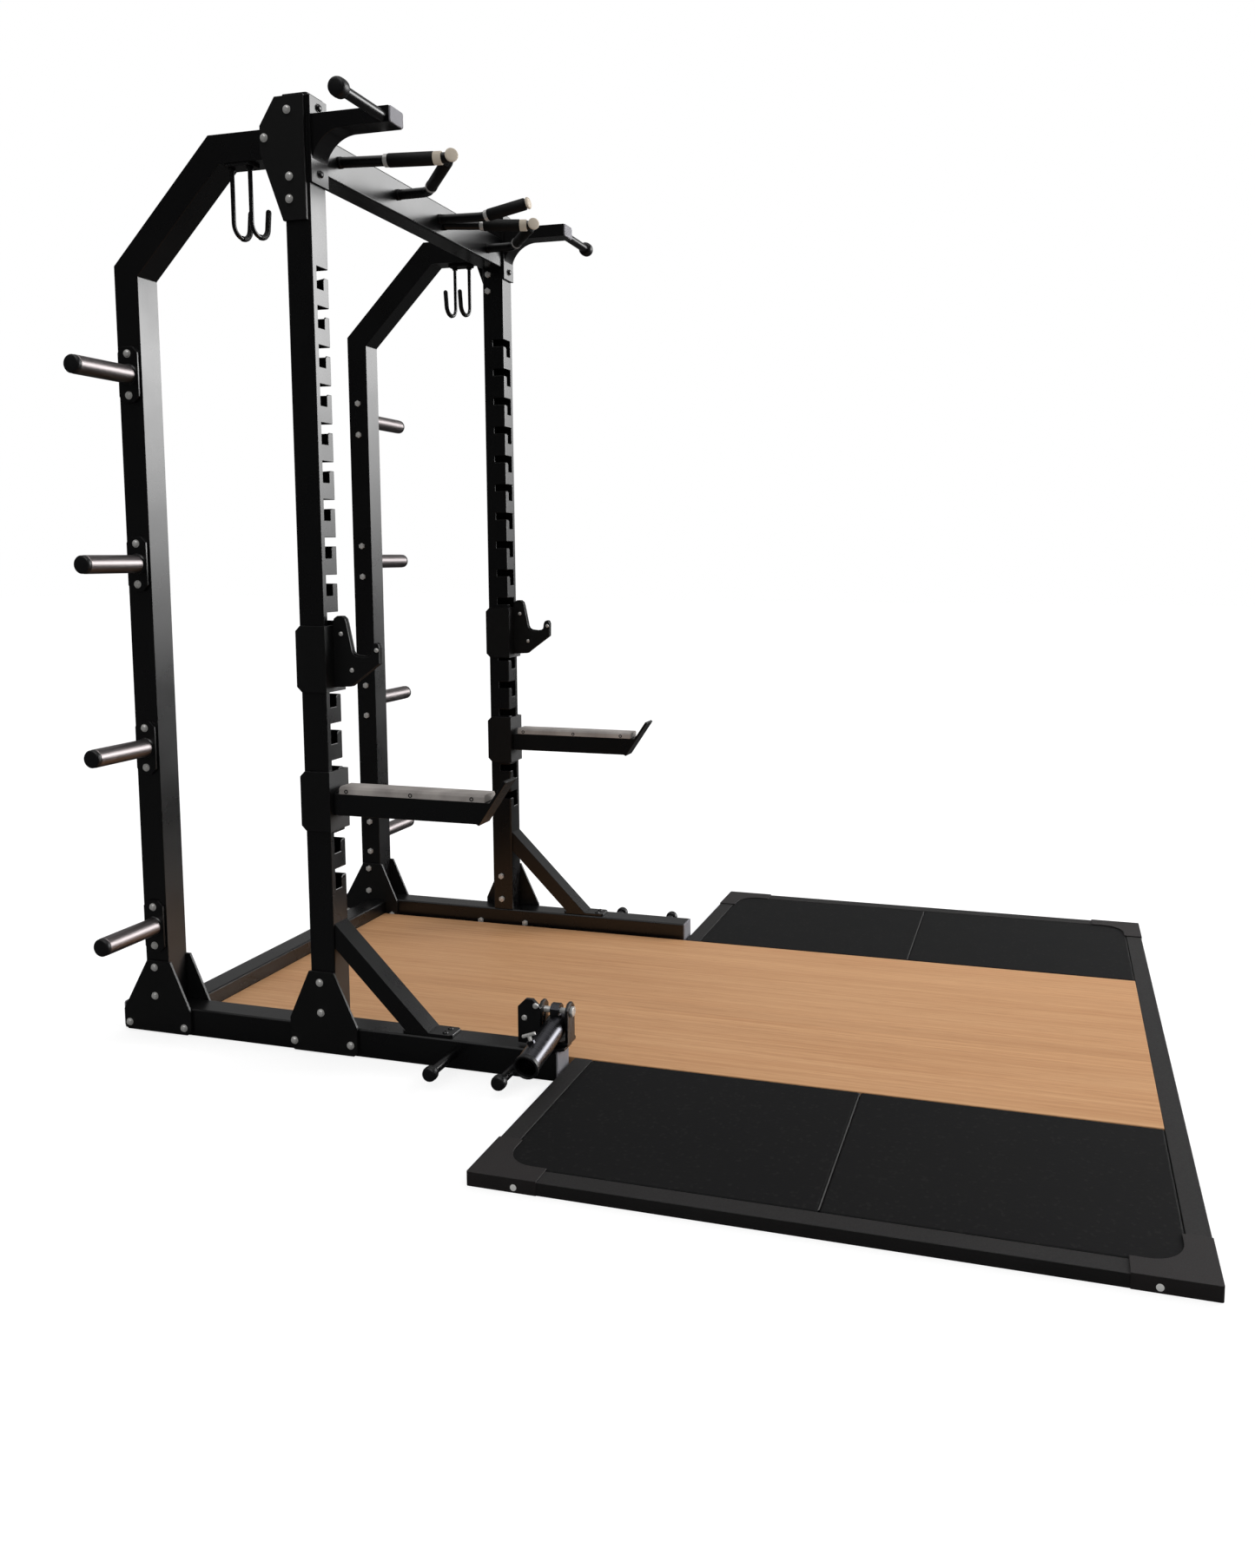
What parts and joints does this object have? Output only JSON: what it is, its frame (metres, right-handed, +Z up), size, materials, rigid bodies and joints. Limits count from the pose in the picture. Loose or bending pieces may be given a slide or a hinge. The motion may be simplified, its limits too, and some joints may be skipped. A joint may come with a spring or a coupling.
{
  "type": "power cage",
  "caption": "Steel half rack with notched uprights, bar catches, safety arms, plate horns, pull-up handles and a pivoting bar sleeve, on a wood and rubber platform.",
  "frame": {"origin": "centre of the bounding box on the floor", "axes": "+Z up, +Y from the platform's front edge to the rear uprights, +X to the lifter's right facing the rack"},
  "size_m": [2.26, 2.9, 2.543],
  "materials": {
    "black_coat": "satin",
    "charcoal_coat": "matt",
    "horn_chrome": "brushed",
    "zinc_steel": "bright",
    "sleeve_steel": "satin",
    "grip_rubber": "matt",
    "mat_rubber": "matt",
    "black_plastic": "satin",
    "grey_plastic": "satin",
    "wear_plastic": "satin",
    "oiled_wood": "satin"
  },
  "bodies": {
    "rack": {"accessory_hooks": "black_coat", "band_pegs": "black_coat", "beam_end_caps": "grey_plastic", "centre_pull_up_grip": "black_coat", "corner_covers": "charcoal_coat", "frame_bolts": "zinc_steel", "front_rail": "charcoal_coat", "handle_collars": "zinc_steel", "handle_end_discs": "grey_plastic", "handle_grips": "grip_rubber", "hook_hangers": "black_coat", "horn_caps": "black_plastic", "left_base_beam": "black_coat", "left_brace": "black_coat", "left_front_gussets": "black_coat", "left_front_upright": "black_coat", "left_plate_horns": "horn_chrome", "left_pull_up_handle": "black_coat", "left_rear_frame": "black_coat", "left_rear_gussets": "black_coat", "left_side_rail": "charcoal_coat", "left_top_arm": "black_coat", "left_top_plates": "black_coat", "peg_knobs": "black_plastic", "rear_crossmember": "black_coat", "rear_rails": "charcoal_coat", "right_base_beam": "black_coat", "right_brace": "black_coat", "right_front_gussets": "black_coat", "right_front_upright": "black_coat", "right_plate_horns": "horn_chrome", "right_pull_up_handle": "black_coat", "right_rear_frame": "black_coat", "right_rear_gussets": "black_coat", "right_side_rail": "charcoal_coat", "right_top_arm": "black_coat", "right_top_plates": "black_coat", "rubber_mats": "mat_rubber", "sleeve_pivot_base": "black_coat", "top_arm_caps": "grey_plastic", "top_crossmember": "black_coat", "upright_caps": "black_plastic", "wood_deck": "oiled_wood"},
    "left_bar_catch": {"left_catch_bracket": "black_coat", "left_catch_hook": "black_coat", "left_catch_pad": "black_plastic"},
    "right_bar_catch": {"right_catch_bracket": "black_coat", "right_catch_hook": "black_coat", "right_catch_pad": "black_plastic"},
    "left_spotter_arm": {"left_arm_bracket": "black_coat", "left_safety_arm": "black_coat", "left_wear_strip": "wear_plastic"},
    "right_spotter_arm": {"right_arm_bracket": "black_coat", "right_safety_arm": "black_coat", "right_wear_strip": "wear_plastic"},
    "sleeve_turntable": {"sleeve_yoke": "black_coat", "sleeve_pivot_pin": "zinc_steel"},
    "bar_sleeve": {"bar_sleeve": "sleeve_steel", "sleeve_end_ring": "black_plastic"},
    "lock_screw": {"sleeve_lock_screw": "zinc_steel"}
  },
  "joints": [
    {"name": "left_bar_catch_lift", "type": "slide", "parent": "rack", "child": "left_bar_catch", "axis": [0, 0, 1], "range_m": [0, 0.033]},
    {"name": "right_bar_catch_lift", "type": "slide", "parent": "rack", "child": "right_bar_catch", "axis": [0, 0, 1], "range_m": [0, 0.033]},
    {"name": "left_spotter_arm_lift", "type": "slide", "parent": "rack", "child": "left_spotter_arm", "axis": [0, 0, 1], "range_m": [0, 0.033]},
    {"name": "right_spotter_arm_lift", "type": "slide", "parent": "rack", "child": "right_spotter_arm", "axis": [0, 0, 1], "range_m": [0, 0.033]},
    {"name": "sleeve_swivel", "type": "hinge", "parent": "rack", "child": "sleeve_turntable", "pos_m": [-0.543, 0.12, 0.09], "axis": [0, 0, 1], "range_deg": [-15, 180]},
    {"name": "sleeve_pitch", "type": "hinge", "parent": "sleeve_turntable", "child": "bar_sleeve", "pos_m": [-0.545, 0.12, 0.172], "axis": [0, 1, 0], "range_deg": [0, 100]},
    {"name": "lock_screw_travel", "type": "slide", "parent": "bar_sleeve", "child": "lock_screw", "axis": [0, -0.342, -0.9397], "range_m": [0, 0.008]}
  ]
}
